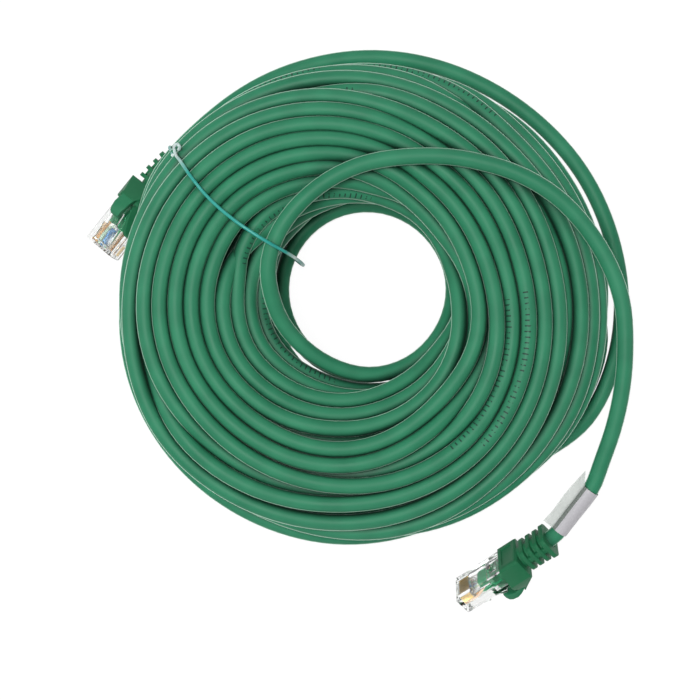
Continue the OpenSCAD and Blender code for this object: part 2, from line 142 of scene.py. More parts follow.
# The whole winding as a grid: a row for each turn, with the ends' short rows before and after
grid_rows = turn_count + 2
laid = np.zeros((grid_rows, turn_steps, 2))
held = np.zeros((grid_rows, turn_steps), bool)
for stops in (
    lead_a_stops, loose_outer_stops, beside_outer_stops, loose_inner_stops() + top_strand_stops
):
    travelled = np.array([(turn + ((first_bearing - b) % 360) / 360, r, z) for turn, b, r, z in stops])
    steps = np.arange(
        int(np.ceil(travelled[0, 0] * turn_steps - 0.01)),
        int(np.floor(travelled[-1, 0] * turn_steps + 0.01)) + 1,
    )
    cells = steps + turn_steps
    laid.reshape(-1, 2)[cells] = through(travelled, steps / turn_steps) / 1000
    held.reshape(-1)[cells] = True
there = held.copy()
there[1 : turn_count + 1] = True

# Places in the ring's cross-section, as shares of its half width and height: a close-packed set,
# taken in columns from the outside in, up and down by turns
slot_count = turn_count - 2
column_w = 2 * cable_r
lattice_half_w = 0.02305
lattice = np.array([
    ((i + j % 2 / 2) * column_w, j * column_w * sin(radians(60)))
    for j in range(-10, 11) for i in range(-12, 13)
])
crowding = (np.abs(lattice / (lattice_half_w, ring_half_h)) ** ring_squareness).sum(1)
lattice = lattice[np.argsort(crowding, kind="stable")[:slot_count]]
columns = np.floor(0.25 - lattice[:, 0] / column_w)
columns = np.minimum(columns, sorted(set(columns))[-2])
slots = np.concatenate([
    sorted(lattice[columns == column].tolist(), key=lambda place: place[1] * (1 if n % 2 == 0 else -1))
    for n, column in enumerate(sorted(set(columns)))
])
chance = np.random.default_rng(5)
slots = slots / (lattice_half_w, ring_half_h) + chance.normal(0, 0.03, slots.shape)

# Once a turn, each turn crosses over to the next place; the crossings run back round the ring
crossing = 0.4
movers = ([0] + list(range(2, turn_count - 2)))[: slot_count - 1]
turns_made = np.arange(turn_count * turn_steps) / turn_steps
slot_reached = np.zeros_like(turns_made)
for n, turn in enumerate(movers):
    t = np.clip((turns_made - turn - 1 + (n + 0.5) / len(movers)) / crossing + 0.5, 0, 1)
    slot_reached += t * t * (3 - 2 * t)
slot_before = np.minimum(np.floor(slot_reached).astype(int), slot_count - 2)
share_past = (slot_reached - slot_before)[:, None]
packed = slots[slot_before] * (1 - share_past) + slots[slot_before + 1] * share_past

# The bundle leans outwards on the left and inwards on the right
lean = radians(22) * np.cos(np.tile(turn_bearings, turn_count) - radians(205))
leaning = np.stack([
    packed[:, 0] * np.cos(lean) + packed[:, 1] * np.sin(lean),
    packed[:, 1] * np.cos(lean) - packed[:, 0] * np.sin(lean),
], -1).reshape(turn_count, turn_steps, 2)
wander = np.zeros((turn_count * turn_steps, 2))
for wave in range(1, 40):
    phase = chance.uniform(0, 2 * pi, 2)
    rate = chance.uniform(0.3, 2.2)
    wander += 0.0004 / (1 + (wave / 12) ** 2) ** 0.5 * np.sin(2 * pi * rate * turns_made[:, None] + phase)
wound = np.stack([
    ring_middle + ring_half_w * leaning[..., 0] + ring_lean * ring_half_h * leaning[..., 1],
    ring_height / 2 + ring_half_h * leaning[..., 1],
], -1) + wander.reshape(turn_count, turn_steps, 2)
loose = ~held[1 : turn_count + 1]
laid[1 : turn_count + 1][loose] = wound[loose]


# Plug A's body, ridge and strain relief, which the outer turns lie clear of: two ends and a radius
plug_a_bulk = [
    (plug_a_place @ Vector(near), plug_a_place @ Vector(far), reach + cable_r)
    for near, far, reach in (
        ((-0.004, 0, 0), (-0.026, 0, 0), 0.0060),
        ((-0.012, 0, -0.0065), (-0.025, 0, -0.0060), 0.0032),
        ((-0.026, 0, 0), (-0.038, -0.001, 0), 0.0046),
    )
]
turn_heading = np.stack([np.cos(turn_bearings), np.sin(turn_bearings)], -1)


def settle(laid, held, rounds):
    """Pushes touching turns apart and evens out each turn's run until they lie a diameter apart."""
    free = there & ~held
    far_off = 9  # metres away, where the grid's empty cells touch nothing
    for step in range(rounds):
        spots = np.where(there[..., None], laid, far_off + np.arange(grid_rows)[:, None, None])
        spots = spots.transpose(1, 0, 2)
        apart = spots[:, :, None] - spots[:, None]
        gap = np.sqrt((apart**2).sum(-1)) + np.eye(grid_rows)
        press = np.clip(2 * cable_r - gap, 0, None) * np.where(held.T[:, None], 0.7, 0.35)
        laid = laid + (apart / gap[..., None] * press[..., None]).sum(2).transpose(1, 0, 2) * free[..., None]
        run = laid.reshape(-1, 2)
        evened = run.copy()
        inner = free.reshape(-1)[1:-1] & there.reshape(-1)[:-2] & there.reshape(-1)[2:]
        evening = 0.35 if step < rounds - 20 else 0.1
        evened[1:-1][inner] += evening * ((run[:-2] + run[2:]) / 2 - run[1:-1])[inner]
        laid = evened.reshape(laid.shape)
        for near, far, reach in plug_a_bulk:
            near, span = np.array(near), np.array(far - near)
            spot = np.concatenate([laid[..., :1] * turn_heading, laid[..., 1:]], -1) - near
            spot -= np.clip(spot @ span / span.dot(span), 0, 1)[..., None] * span
            off = np.linalg.norm(spot, axis=-1)
            push = np.where(free, np.clip(reach / off - 1, 0, 0.3), 0)
            laid[..., 0] += push * (spot[..., :2] * turn_heading).sum(-1)
            laid[..., 1] += push * spot[..., 2]
        leant = ring_lean * (laid[..., 1] - ring_height / 2)
        shares = np.stack([
            (laid[..., 0] - ring_middle - leant) / ring_half_w,
            (laid[..., 1] - ring_height / 2) / ring_half_h,
        ], -1)
        beyond = np.maximum((np.abs(shares) ** ring_squareness).sum(-1), 1e-9) ** (1 / ring_squareness)
        inwards = np.where(free & (beyond > 1), (1 / beyond - 1) / 2, 0)
        laid[..., 0] += shares[..., 0] * inwards * ring_half_w
        laid[..., 1] += shares[..., 1] * inwards * ring_half_h
        laid[..., 1] = np.where(free, np.maximum(laid[..., 1], cable_r), laid[..., 1])
    return laid


laid = settle(laid, held, 240)
still_held = held.reshape(-1).copy()
for step in range(1, 6):
    fixed = (held | ~there).reshape(-1)
    still_held &= np.roll(fixed, step) & np.roll(fixed, -step)
laid = settle(laid, still_held.reshape(held.shape), 60)
bearing_grid = np.broadcast_to(turn_bearings, there.shape)[there]
wound_line = np.stack([
    laid[there][:, 0] * np.cos(bearing_grid), laid[there][:, 0] * np.sin(bearing_grid), laid[there][:, 1]
], -1)
for rounding in range(3):
    wound_line[1:-1] += ((wound_line[:-2] + wound_line[2:]) / 2 - wound_line[1:-1]) / 2
# Bends that are sharper than this radius are eased
sharpest_bend = 0.022
for easing in range(80):
    sag = (wound_line[:-2] + wound_line[2:]) / 2 - wound_line[1:-1]
    half_chord = np.linalg.norm(wound_line[2:] - wound_line[:-2], axis=1) / 2
    bend_r = half_chord**2 / (2 * np.linalg.norm(sag, axis=1) + 1e-9)
    wound_line[1:-1] += sag * np.where(bend_r < sharpest_bend, 0.4, 0)[:, None]

# Free stretches: out of boot A to the first stop, and from the last stop down to boot B
boot_rear, fin_first, fin_pitch, flange_half_t = 0.0262, 0.0021, 0.0028, 0.00075
relief_bend_a = radians(5)


def relief_line(place, bend):
    """Points from the boot's rear, through its strain relief and 3 mm beyond, in the world."""
    point, heading = Vector((-boot_rear, 0, 0)), 0.0
    line = [point.copy()]
    point = Vector((-boot_rear - fin_first, 0, 0))
    line.append(point.copy())
    for fin in range(3):
        heading = (fin + 0.5) * bend
        point = point - fin_pitch * Vector((cos(heading), sin(heading), 0))
        line.append(point.copy())
    heading = 3 * bend
    for beyond in (flange_half_t, flange_half_t + 0.003):
        line.append(point - beyond * Vector((cos(heading), sin(heading), 0)))
    return [place @ p for p in line]


label_from, label_to = Vector((0.0616, -0.0766, 0.0211)), Vector((0.0717, -0.0624, 0.0251))
side_stops = [
    (29.7, 65.6, 37), (14.2, 73.2, 35.2), (-0.7, 79.8, 33.8), (-11.8, 83, 32.5), (-20.4, 85.9, 31),
    (-28.9, 89.1, 29), (-35.3, 91.8, 27)
]
over_side = [
    Vector((r * cos(radians(b)), r * sin(radians(b)), z)) / 1000 for b, r, z in side_stops
] + [label_to, label_to.lerp(label_from, 0.5), label_from]


def evenly(points, spacing):
    """A smooth curve through the points, with about that spacing."""
    points = np.array([tuple(p) for p in points])
    share = np.concatenate([[0], np.cumsum(np.linalg.norm(np.diff(points, axis=0), axis=1))])
    count = max(int(round(share[-1] / spacing)), 1)
    return through(np.column_stack([share, points]), np.linspace(0, share[-1], count + 1))


relief_a, relief_b = relief_line(plug_a_place, relief_bend_a), relief_line(plug_b_place, 0)
ring_pitch, cable_pitch = 0.0045, 0.0036
start = evenly(relief_a + [Vector(wound_line[0]), Vector(wound_line[1])], ring_pitch)
finish = [Vector(wound_line[-2]), Vector(wound_line[-1])] + over_side + relief_b[-2::-1]
finish = evenly(finish, ring_pitch)
reach_a = np.linalg.norm(start - wound_line[0], axis=1).argmin()
reach_b = np.linalg.norm(finish - wound_line[-1], axis=1).argmin()
cable_line = evenly(np.concatenate([start[:reach_a], wound_line, finish[reach_b + 1 :]]), cable_pitch)


def swept_tube(name, line, radius, sides):
    """A tube of rings along a line, closed at both ends, its UV map in metres along and round it."""
    ahead = np.gradient(line, axis=0)
    ahead /= np.linalg.norm(ahead, axis=1)[:, None]
    side = np.cross(ahead[0], (0, 0, 1))
    frames = []
    for direction in ahead:
        side = side - direction * side.dot(direction)
        side /= np.linalg.norm(side)
        frames.append((side, np.cross(side, direction)))
    frames = np.array(frames)
    angles = np.linspace(0, 2 * pi, sides, endpoint=False)
    rings = (
        line[:, None]
        + radius * np.cos(angles)[None, :, None] * frames[:, None, 0]
        + radius * np.sin(angles)[None, :, None] * frames[:, None, 1]
    )
    count = len(line)
    across, along = np.meshgrid(np.arange(sides), np.arange(count - 1))
    low, high = along * sides + across, along * sides + (across + 1) % sides
    walls = np.stack([low, low + sides, high + sides, high], -1).reshape(-1, 4)
    ends = [list(range(sides)), [(count - 1) * sides + k for k in range(sides - 1, -1, -1)]]
    mesh = bpy.data.meshes.new(name)
    mesh.from_pydata(rings.reshape(-1, 3).tolist(), [], walls.tolist() + ends)
    run = np.concatenate([[0], np.cumsum(np.linalg.norm(np.diff(line, axis=0), axis=1))])
    across, along = across.ravel(), along.ravel()
    girth = 2 * pi * radius / sides
    corners = np.stack([
        np.stack([run[along + ahead_by], (across + round_by) * girth], -1)
        for ahead_by, round_by in ((0, 0), (1, 0), (1, 1), (0, 1))
    ], 1).reshape(-1, 2)
    layer = mesh.uv_layers.new(name="run")
    values = np.zeros((len(mesh.loops), 2), np.float32)
    values[: len(corners)] = corners
    layer.data.foreach_set("uv", values.ravel())
    mesh.polygons.foreach_set("use_smooth", [True] * len(walls) + [False, False])
    tube = bpy.data.objects.new(name, mesh)
    bpy.context.scene.collection.objects.link(tube)
    return tube


cable = swept_tube("cable", cable_line, cable_r, 16)


def surface(name, colour, roughness, **sockets):
    """A material with a Principled BSDF, and that shader's plain socket values."""
    material = bpy.data.materials.new(name)
    material.use_nodes = True
    shader = material.node_tree.nodes["Principled BSDF"]
    shader.inputs["Base Color"].default_value = (*colour, 1)
    shader.inputs["Roughness"].default_value = roughness
    for socket, value in sockets.items():
        shader.inputs[socket.replace("_", " ").title().replace("Ior", "IOR")].default_value = value
    return material, material.node_tree, shader


def joined(tree, kind, inputs=(), **settings):
    """A node in the tree with its settings, its inputs given as values or as sockets to link."""
    node = tree.nodes.new(kind)
    for setting, value in settings.items():
        setattr(node, setting, value)
    for socket, value in dict(inputs).items():
        if isinstance(value, bpy.types.NodeSocket):
            tree.links.new(value, node.inputs[socket])
        else:
            node.inputs[socket].default_value = value
    return node


def reckoned(tree, operation, *values, **settings):
    """A Math node on one or two values or sockets."""
    return joined(tree, "ShaderNodeMath", enumerate(values), operation=operation, **settings)


def mapped(tree, value, from_min, from_max, to_min, to_max, **settings):
    """A Map Range node, which takes one range of the value to another."""
    return joined(tree, "ShaderNodeMapRange", {
        "Value": value, "From Min": from_min, "From Max": from_max, "To Min": to_min, "To Max": to_max
    }, **settings)


def blended(tree, share, first, second):
    """A Mix node that goes from the first colour to the second; its colour is output 2."""
    return joined(tree, "ShaderNodeMix", {0: share, 6: first, 7: second}, data_type="RGBA")


def vinyl_finish_group():
    """Soft vinyl: a fine orange-peel grain, slow mottling of its colour, and rubbed, duller patches."""
    group = bpy.data.node_groups.new("vinyl_finish", "ShaderNodeTree")
    for name, kind in (("Vector", "Vector"), ("Color", "Color"), ("Grain", "Float"), ("Roughness", "Float")):
        group.interface.new_socket(name, in_out="INPUT", socket_type="NodeSocket" + kind)
    for name, kind in (("Color", "Color"), ("Roughness", "Float"), ("Normal", "Vector")):
        group.interface.new_socket(name, in_out="OUTPUT", socket_type="NodeSocket" + kind)
    given = group.nodes.new("NodeGroupInput").outputs
    out = group.nodes.new("NodeGroupOutput")
    slow = joined(group, "ShaderNodeTexNoise", {"Vector": given["Vector"], "Scale": 120, "Detail": 4})
    fine = joined(group, "ShaderNodeTexNoise", {"Vector": given["Vector"], "Scale": 3200, "Detail": 3})
    rubbed = mapped(group, slow.outputs["Fac"], 0.35, 0.7, 0, 1)
    darker = joined(group, "ShaderNodeHueSaturation", {
        "Color": given["Color"], "Value": 0.86, "Saturation": 1.03
    })
    tint = blended(group, rubbed.outputs[0], darker.outputs[0], given["Color"])
    dull = reckoned(group, "MULTIPLY", rubbed.outputs[0], 0.12)
    rough = reckoned(group, "ADD", given["Roughness"], dull.outputs[0])
    bump = joined(group, "ShaderNodeBump", {
        "Height": fine.outputs["Fac"], "Strength": given["Grain"], "Distance": 0.00008
    })
    group.links.new(tint.outputs[2], out.inputs["Color"])
    group.links.new(rough.outputs[0], out.inputs["Roughness"])
    group.links.new(bump.outputs[0], out.inputs["Normal"])
    return group


vinyl_finish = vinyl_finish_group()


def finish_vinyl(tree, shader, vector, colour, grain, roughness):
    """Puts the vinyl finish on a material's shader; colour is a value or a socket."""
    node = tree.nodes.new("ShaderNodeGroup")
    node.node_tree = vinyl_finish
    tree.links.new(vector, node.inputs["Vector"])
    if isinstance(colour, bpy.types.NodeSocket):
        tree.links.new(colour, node.inputs["Color"])
    else:
        node.inputs["Color"].default_value = (*colour, 1)
    node.inputs["Grain"].default_value = grain
    node.inputs["Roughness"].default_value = roughness
    tree.links.new(node.outputs["Color"], shader.inputs["Base Color"])
    tree.links.new(node.outputs["Roughness"], shader.inputs["Roughness"])
    tree.links.new(node.outputs["Normal"], shader.inputs["Normal"])


jacket_green = (0.031, 0.254, 0.130)
jacket_material, tree, shader = surface(
    "cable_jacket", jacket_green, 0.5, specular_ior_level=0.28,
    sheen_weight=0.15, sheen_roughness=0.25, sheen_tint=(0.75, 1.0, 0.85, 1),
)
run = tree.nodes.new("ShaderNodeUVMap")
run.uv_map = "run"
axes = joined(tree, "ShaderNodeSeparateXYZ", {"Vector": run.outputs["UV"]})
# The pairs twisted inside show through the jacket as a faint long ripple
ripple = joined(tree, "ShaderNodeTexNoise", {
    "W": axes.outputs["X"], "Scale": 90, "Detail": 1
}, noise_dimensions="1D")
shade = mapped(tree, ripple.outputs["Fac"], 0.3, 0.7, 0.93, 1.06)
# Length marks: every metre, a row of short dark ink strokes along one side
mark_row_l, mark_pitch, mark_w = 0.055, 0.0018, 0.00045
mark_round, mark_half_h, mark_extra_h = 0.0072, 0.0006, 0.0005
metre = reckoned(tree, "MODULO", axes.outputs["X"], 1.0)
in_row = reckoned(tree, "LESS_THAN", metre.outputs[0], mark_row_l)
stroke_at = reckoned(tree, "MODULO", axes.outputs["X"], mark_pitch)
stroke = reckoned(tree, "LESS_THAN", stroke_at.outputs[0], mark_w)
step_no = reckoned(tree, "MULTIPLY", axes.outputs["X"], 1 / mark_pitch)
step_floor = reckoned(tree, "FLOOR", step_no.outputs[0])
lot = joined(tree, "ShaderNodeTexWhiteNoise", {"W": step_floor.outputs[0]}, noise_dimensions="1D")
tall = reckoned(tree, "MULTIPLY", lot.outputs["Value"], mark_extra_h)
taller = reckoned(tree, "ADD", tall.outputs[0], mark_half_h)
height = reckoned(tree, "SUBTRACT", axes.outputs["Y"], mark_round)
near_row = reckoned(tree, "ABSOLUTE", height.outputs[0])
within = reckoned(tree, "LESS_THAN", near_row.outputs[0], taller.outputs[0])
worn = joined(tree, "ShaderNodeTexNoise", {"Vector": run.outputs["UV"], "Scale": 900, "Detail": 2})
inked = reckoned(tree, "GREATER_THAN", worn.outputs["Fac"], 0.42)
ink = reckoned(tree, "MULTIPLY", in_row.outputs[0], stroke.outputs[0])
ink = reckoned(tree, "MULTIPLY", ink.outputs[0], within.outputs[0])
ink = reckoned(tree, "MULTIPLY", ink.outputs[0], inked.outputs[0])
shaded = joined(tree, "ShaderNodeHueSaturation", {
    "Color": (*jacket_green, 1), "Value": shade.outputs[0], "Saturation": 1
})
printed = blended(tree, ink.outputs[0], shaded.outputs[0], (0.014, 0.06, 0.04, 1))
# A painted sheen: the base colour turns pale along the grazing edge of each turn
grazing = tree.nodes.new("ShaderNodeLayerWeight")
grazing.inputs["Blend"].default_value = 0.5
painted_sheen_edge = mapped(tree, grazing.outputs["Facing"], 0.56, 0.82, 0, 1.0, interpolation_type="SMOOTHSTEP")
# Painted shade: the colour is darkened in the grooves where the turns touch, by ambient occlusion
groove = joined(tree, "ShaderNodeAmbientOcclusion", {"Distance": 0.006}, samples=8)
painted_groove_shade = mapped(tree, groove.outputs["AO"], 0.25, 0.85, 0.16, 1)
groove_shaded_colour = joined(tree, "ShaderNodeHueSaturation", {
    "Color": printed.outputs[2], "Value": painted_groove_shade.outputs[0], "Saturation": 0.97
})
# The painted sheen is left out of the painted shade of the grooves
clear_of_groove_shade = mapped(tree, groove.outputs["AO"], 0.3, 0.55, 0, 1)
painted_sheen_edge = reckoned(tree, "MULTIPLY", painted_sheen_edge.outputs[0], clear_of_groove_shade.outputs[0])
sheened = blended(tree, painted_sheen_edge.outputs[0], groove_shaded_colour.outputs[0], (0.66, 1.0, 0.80, 1))
stretched = joined(tree, "ShaderNodeMapping", {"Vector": run.outputs["UV"], "Scale": (0.35, 1, 1)})
finish_vinyl(tree, shader, stretched.outputs[0], sheened.outputs[2], 0.25, 0.5)
cable.data.materials.append(jacket_material)
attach(cable, "cable")
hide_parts("coil", "lead_a", "lead_b")

# ---- wire tie ----
# A soft steel wire in a teal plastic coating, passed once round the bundle and pulled tight. Its
# end is curled back outside, and the coating has gone whitish where the wire was bent.

tie_r = 0.00055
tie_teal = (0.045, 0.42, 0.36)
tie_bearing, tie_heading = radians(145.3), radians(138.1)
tie_middle = 0.0533 * np.array([cos(tie_bearing), sin(tie_bearing)])
tie_out = np.array([cos(tie_heading), sin(tie_heading)])
tie_side = np.array([-tie_out[1], tie_out[0]])
tie_half_l = 0.0275


def tie_bow(out, height):
    """How far the tie's upper run is bowed to one side."""
    share = np.clip(out / tie_half_l, -1, 1)
    return 0.0050 * np.cos(share * pi / 2) * np.clip((height - 0.014) / 0.012, 0, 1)


out = (wound_line[:, :2] - tie_middle) @ tie_out
offset = (wound_line[:, :2] - tie_middle) @ tie_side - tie_bow(out, wound_line[:, 2])
crossed = np.nonzero((offset[:-1] * offset[1:] <= 0) & (
    np.linalg.norm(wound_line[:-1, :2] - tie_middle, axis=1) < 0.040
))[0]
share = (offset[crossed] / (offset[crossed] - offset[crossed + 1]))[:, None]
met = wound_line[crossed] * (1 - share) + wound_line[crossed + 1] * share
met = np.stack([(met[:, :2] - tie_middle) @ tie_out, met[:, 2]], -1)
tie_points = []
for angle in np.radians(np.arange(150, 150 - 361, -9)):
    way = np.array([cos(angle), sin(angle)])
    touch = met[(met @ way).argmax()] + (cable_r * 1.04 + tie_r) * way
    touch[1] = max(touch[1], tie_r)
    tie_points.append(touch)
tie_points = np.array(tie_points)[::-1]
ring = np.column_stack([
    tie_middle + tie_points[:, :1] * tie_out + tie_bow(*tie_points.T)[:, None] * tie_side, tie_points[:, 1]
])
keep = np.concatenate([[True], np.linalg.norm(np.diff(ring, axis=0), axis=1) > 0.0012])
ring = ring[keep]
start_at = (ring @ np.array([*tie_out, 0.6])).argmax()
ring = np.roll(ring, -start_at, axis=0)
ring[-1] = ring[0] + (*(0.0013 * tie_side), -0.0006)
curl = ring[0] + np.array([
    (0.0012, 0.0004, 0.0012), (0.0017, 0.0013, 0.0018), (0.0010, 0.0022, 0.0019),
    (0.0000, 0.0018, 0.0014), (-0.0002, 0.0009, 0.0006)
])
ring[:4, 2] += (0.0006, 0.0008, 0.0006, 0.0003)
tie_line = evenly(np.concatenate([curl, ring]), 0.0005)
tie_line[:, 2] = np.maximum(tie_line[:, 2], tie_r)
tie = swept_tube("wire_tie", tie_line, tie_r, 10)
tie_material, tree, shader = surface("tie_coating", tie_teal, 0.32, specular_ior_level=0.5)
run = tree.nodes.new("ShaderNodeUVMap")
run.uv_map = "run"
axes = joined(tree, "ShaderNodeSeparateXYZ", {"Vector": run.outputs["UV"]})
patchy = joined(tree, "ShaderNodeTexNoise", {"Vector": run.outputs["UV"], "Scale": 420, "Detail": 3})
inner_corner = (tie_line @ np.array([*-tie_out, 0.5])).argmax()
inner_run = float(np.linalg.norm(np.diff(tie_line[: inner_corner + 1], axis=0), axis=1).sum())
bent_outside = mapped(tree, axes.outputs["X"], 0.007, 0.017, 0.9, 0)
past_inner = reckoned(tree, "SUBTRACT", axes.outputs["X"], inner_run)
past_inner = reckoned(tree, "ABSOLUTE", past_inner.outputs[0])
bent_inside = mapped(tree, past_inner.outputs[0], 0.001, 0.005, 0.8, 0)
bent = reckoned(tree, "MAXIMUM", bent_outside.outputs[0], bent_inside.outputs[0])
paler = reckoned(tree, "MULTIPLY", bent.outputs[0], patchy.outputs["Fac"])
paler = reckoned(tree, "MULTIPLY", paler.outputs[0], 2.0, use_clamp=True)
tinted = blended(tree, paler.outputs[0], (*tie_teal, 1), (0.78, 0.88, 0.86, 1))
finish_vinyl(tree, shader, run.outputs["UV"], tinted.outputs[2], 0.3, 0.28)
tie.data.materials.append(tie_material)
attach(tie, "cable")
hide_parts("tie")

# ---- label ----
# A flag label of thin film round the cable near plug B: a white writing field, and clear ends
# stuck back to back as a flag that stands off the cable. It is left blank.

label_axis = (label_to - label_from).normalized()
label_middle = (label_to + label_from) / 2
label_l = 0.0175
label_r = cable_r + 0.00025
flag_w = 0.0046
flag_root, flag_tilt = 30, 34
label_left = Vector((0, 0, 1)).cross(label_axis).normalized()
label_rise = label_axis.cross(label_left)


def flag_layer(shares, side):
    """One layer of the flag, at shares of its width out from the cable; side is -1 or 1."""
    return [(
        label_r * cos(radians(flag_root)) + flag_w * share * cos(radians(flag_tilt)) + side * 0.00006,
        label_r * sin(radians(flag_root)) + flag_w * share * sin(radians(flag_tilt)) - side * 0.00009,
    ) for share in shares]


wrap = [
    (label_r * cos(angle), label_r * sin(angle))
    for angle in np.radians(np.linspace(flag_root + 12, flag_root + 348, 30))
]
film_path = np.array(flag_layer(np.linspace(1, 0, 8), -1) + wrap + flag_layer(np.linspace(0, 1, 8), 1))
film_run = np.concatenate([[0], np.cumsum(np.linalg.norm(np.diff(film_path, axis=0), axis=1))])
film_along, film_t = 25, 0.00009
bpy.ops.object.select_all(action="DESELECT")
bpy.ops.mesh.primitive_grid_add(
    x_subdivisions=film_along - 1, y_subdivisions=len(film_path) - 1, size=1, location=(0, 0, 0)
)
label = bpy.context.object
label.name = "label_film"
flat = np.array([tuple(v.co) for v in label.data.vertices])
crease = np.random.default_rng(11)
bumps = crease.uniform(-1, 1, (6, 4))
uv_values = np.zeros((len(flat), 2))
for vertex, (x, y) in zip(label.data.vertices, flat[:, :2]):
    along = x + 0.5
    row = int(round((y + 0.5) * (len(film_path) - 1)))
    left, rise = film_path[row]
    flagged = max(0, (left**2 + rise**2) ** 0.5 - label_r) / flag_w
    lift = sum(
        a * sin(2 * pi * (b * along * 2 + c * film_run[row] / 0.01) + 3 * d) for a, b, c, d in bumps
    ) * 0.00004
    curl_up = flagged**2 * (0.0011 * (along - 0.55) + 0.0003 * sin(7 * along))
    left += curl_up * sin(radians(flag_tilt)) * -1 + lift * cos(radians(flag_tilt + 90 * (flagged > 0)))
    rise += curl_up * cos(radians(flag_tilt)) + lift
    skew = 0.0042 * flagged * along**2 + 0.0008 * flagged
    forward = float(label_l * (along - 0.5) + skew)
    vertex.co = label_middle + forward * label_axis + float(left) * label_left + float(rise) * label_rise
    uv_values[vertex.index] = (along * label_l, film_run[row])
film_uv = label.data.uv_layers.new(name="film")
for loop in label.data.loops:
    film_uv.data[loop.index].uv = uv_values[loop.vertex_index]
label.data.uv_layers.active = film_uv
film = label.modifiers.new("film", "SOLIDIFY")
film.thickness = film_t
film.offset = 0
bpy.ops.object.modifier_apply(modifier=film.name)
bpy.ops.object.shade_smooth_by_angle(angle=radians(40))
label_material, tree, shader = surface("label_film", (0.72, 0.72, 0.74), 0.3, specular_ior_level=0.5)
film_map = tree.nodes.new("ShaderNodeUVMap")
film_map.uv_map = "film"
axes = joined(tree, "ShaderNodeSeparateXYZ", {"Vector": film_map.outputs["UV"]})
field_middle, field_half = 0.0114, 0.0055
from_middle = reckoned(tree, "SUBTRACT", axes.outputs["Y"], field_middle)
from_middle = reckoned(tree, "ABSOLUTE", from_middle.outputs[0])
field = reckoned(tree, "LESS_THAN", from_middle.outputs[0], field_half)
speckle = joined(tree, "ShaderNodeTexNoise", {"Vector": film_map.outputs["UV"], "Scale": 1400, "Detail": 3})
soiled = mapped(tree, speckle.outputs["Fac"], 0.3, 0.7, 0.92, 1.03)
paper = joined(tree, "ShaderNodeHueSaturation", {
    "Color": (0.56, 0.55, 0.58, 1), "Value": soiled.outputs[0], "Saturation": 1
})
film_colour = blended(tree, field.outputs[0], (0.93, 0.97, 0.94, 1), paper.outputs[0])
past_wrap = reckoned(tree, "SUBTRACT", axes.outputs["Y"], float(film_run[-1] / 2))
past_wrap = reckoned(tree, "ABSOLUTE", past_wrap.outputs[0])
flag_from = float(film_run[-1] / 2 - flag_w)
solid = mapped(tree, past_wrap.outputs[0], flag_from, flag_from + 0.0006, 0.12, 0.4)
solid = reckoned(tree, "MAXIMUM", solid.outputs[0], field.outputs[0])
tree.links.new(film_colour.outputs[2], shader.inputs["Base Color"])
tree.links.new(solid.outputs[0], shader.inputs["Alpha"])
label.data.materials.append(label_material)
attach(label, "cable")
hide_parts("label")

# ---- boots and hoods ----
# Each plug's boot and strain relief are one moulding of soft green vinyl, pushed over the cable
# and clipped on the plug. The hood that guards the latch springs from the boot's ridge.


def softened(node, width, segments):
    """A copy of a CAD node with its triangles merged into faces and its edges rounded."""
    bpy.ops.object.select_all(action="DESELECT")
    piece = bpy.data.objects.new("soft_" + node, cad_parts[node].data.copy())
    bpy.context.scene.collection.objects.link(piece)
    piece.data.materials.clear()
    bpy.context.view_layer.objects.active = piece
    piece.select_set(True)
    bpy.ops.object.mode_set(mode="EDIT")
    bpy.ops.mesh.select_all(action="SELECT")
    bpy.ops.mesh.remove_doubles(threshold=0.000002)
    bpy.ops.mesh.dissolve_limited(angle_limit=radians(1.5))
    bpy.ops.object.mode_set(mode="OBJECT")
    rounding = piece.modifiers.new("rounding", "BEVEL")
    rounding.width = width
    rounding.segments = segments
    rounding.limit_method = "ANGLE"
    rounding.angle_limit = radians(30)
    rounding.miter_outer = "MITER_ARC"
    bpy.ops.object.modifier_apply(modifier=rounding.name)
    bpy.ops.object.shade_smooth_by_angle(angle=radians(38))
    return piece


def vinyl_material(name, colour, roughness):
    material, tree, shader = surface(
        name, colour, roughness, specular_ior_level=0.2,
        sheen_weight=0.05, sheen_roughness=0.3, sheen_tint=(0.75, 1.0, 0.85, 1),
    )
    place = tree.nodes.new("ShaderNodeTexCoord")
    finish_vinyl(tree, shader, place.outputs["Object"], colour, 0.45, roughness)
    return material


boot_material = vinyl_material("boot_vinyl", (0.024, 0.180, 0.080), 0.42)
# Painted light: the hood is moulded with the boot in one vinyl, but gets a lighter copy of its green for the
# light on its top
lighter_hood_material = vinyl_material("hood_vinyl", (0.034, 0.225, 0.110), 0.38)
for plug in ("a", "b"):
    boot = softened("boot_" + plug, 0.00022, 3)
    boot.data.materials.append(boot_material)
    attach(boot, "cable")
    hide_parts("boot_" + plug)
    hood = softened("hood_" + plug, 0.00025, 3)
    hood.data.materials.append(lighter_hood_material)
    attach(hood, "hood_" + plug)
    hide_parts("hood_" + plug)

# ---- plug housings, latches and crimp bars ----
# Injection-moulded clear polycarbonate: the housing with its wire channels, the springy latch
# under it, and the bar that is pressed in through the contact side onto the jacket.


def clear_material(name, colour, roughness):
    material, tree, shader = surface(name, colour, roughness, transmission_weight=1.0, ior=1.45)
    place = tree.nodes.new("ShaderNodeTexCoord")
    flow = joined(tree, "ShaderNodeTexNoise", {"Vector": place.outputs["Object"], "Scale": 260, "Detail": 2})
    haze = mapped(tree, flow.outputs["Fac"], 0.35, 0.7, roughness, roughness + 0.06)
    ripple = joined(tree, "ShaderNodeBump", {
        "Height": flow.outputs["Fac"], "Strength": 0.12, "Distance": 0.0002
    })
    tree.links.new(haze.outputs[0], shader.inputs["Roughness"])
    tree.links.new(ripple.outputs[0], shader.inputs["Normal"])
    return material


